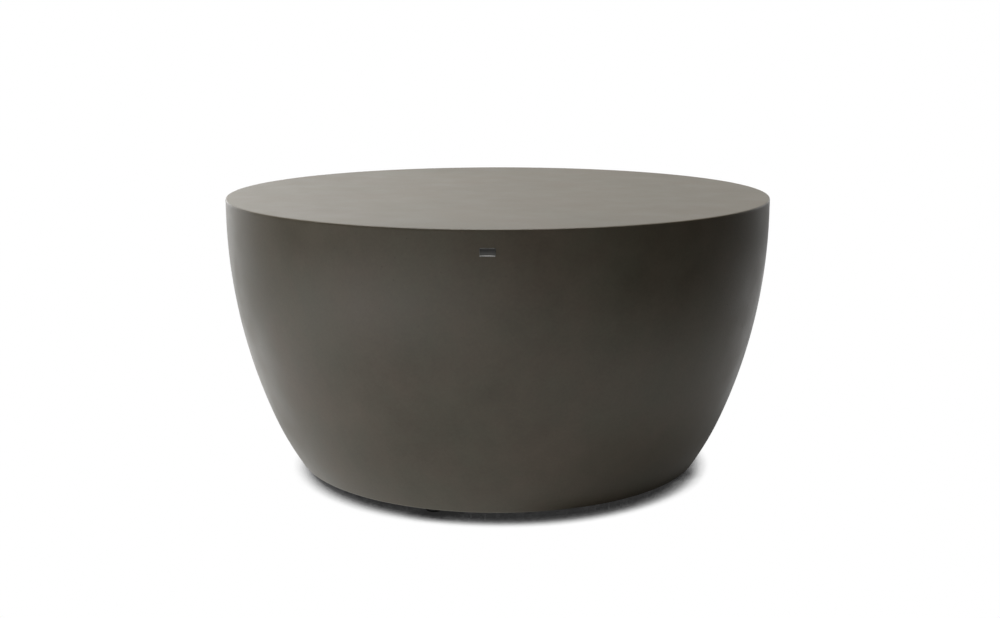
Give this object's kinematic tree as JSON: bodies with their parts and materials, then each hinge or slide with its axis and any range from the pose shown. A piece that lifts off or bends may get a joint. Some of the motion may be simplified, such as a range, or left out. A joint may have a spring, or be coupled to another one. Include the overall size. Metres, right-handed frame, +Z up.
{
  "type": "round concrete coffee table",
  "caption": "Round drum coffee table cast in dark grey concrete, with a flat top, a bellied wall that narrows to the base, and screw levelling feet.",
  "frame": {"origin": "on the drum's axis, at floor level under the feet's soles, with the feet screwed right in", "axes": "+Z up along the drum's axis; the badge faces -Y"},
  "size_m": [0.8999, 0.9005, 0.458],
  "materials": {
    "concrete": "sealed, smooth matte, softly clouded",
    "badge_steel": "brushed, with a darkened sunk field inside a sloping border",
    "insert_brass": "turned, dull",
    "stud_steel": "zinc plated",
    "nylon": "moulded black nylon",
    "sole_rubber": "black rubber"
  },
  "bodies": {
    "table": {"shell": "concrete", "badge_plate": "badge_steel", "foot_insert_1": "insert_brass", "foot_insert_2": "insert_brass", "foot_insert_3": "insert_brass", "foot_insert_4": "insert_brass"},
    "foot_1": {"foot_base_1": "nylon", "foot_sole_1": "sole_rubber"},
    "foot_2": {"foot_base_2": "nylon", "foot_sole_2": "sole_rubber"},
    "foot_3": {"foot_base_3": "nylon", "foot_sole_3": "sole_rubber"},
    "foot_4": {"foot_base_4": "nylon", "foot_sole_4": "sole_rubber"},
    "stud_1": {"foot_stud_1": "stud_steel"},
    "stud_2": {"foot_stud_2": "stud_steel"},
    "stud_3": {"foot_stud_3": "stud_steel"},
    "stud_4": {"foot_stud_4": "stud_steel"}
  },
  "joints": [
    {"name": "foot_1_level", "type": "slide", "parent": "table", "child": "foot_1", "axis": [0, 0, -1], "range_m": [0, 0.015]},
    {"name": "foot_1_turn", "type": "hinge", "parent": "foot_1", "child": "stud_1", "pos_m": [-0.0894, -0.29243, 0.011], "axis": [0, 0, -1], "range_deg": [0, 3600]},
    {"name": "foot_2_level", "type": "slide", "parent": "table", "child": "foot_2", "axis": [0, 0, -1], "range_m": [0, 0.015]},
    {"name": "foot_2_turn", "type": "hinge", "parent": "foot_2", "child": "stud_2", "pos_m": [-0.29243, 0.0894, 0.011], "axis": [0, 0, -1], "range_deg": [0, 3600]},
    {"name": "foot_3_level", "type": "slide", "parent": "table", "child": "foot_3", "axis": [0, 0, -1], "range_m": [0, 0.015]},
    {"name": "foot_3_turn", "type": "hinge", "parent": "foot_3", "child": "stud_3", "pos_m": [0.0894, 0.29243, 0.011], "axis": [0, 0, -1], "range_deg": [0, 3600]},
    {"name": "foot_4_level", "type": "slide", "parent": "table", "child": "foot_4", "axis": [0, 0, -1], "range_m": [0, 0.015]},
    {"name": "foot_4_turn", "type": "hinge", "parent": "foot_4", "child": "stud_4", "pos_m": [0.29243, -0.0894, 0.011], "axis": [0, 0, -1], "range_deg": [0, 3600]}
  ],
  "couplings": [
    {"joint": "foot_1_turn", "follows": "foot_1_level", "rad_per_m": 4188.8},
    {"joint": "foot_2_turn", "follows": "foot_2_level", "rad_per_m": 4188.8},
    {"joint": "foot_3_turn", "follows": "foot_3_level", "rad_per_m": 4188.8},
    {"joint": "foot_4_turn", "follows": "foot_4_level", "rad_per_m": 4188.8}
  ]
}
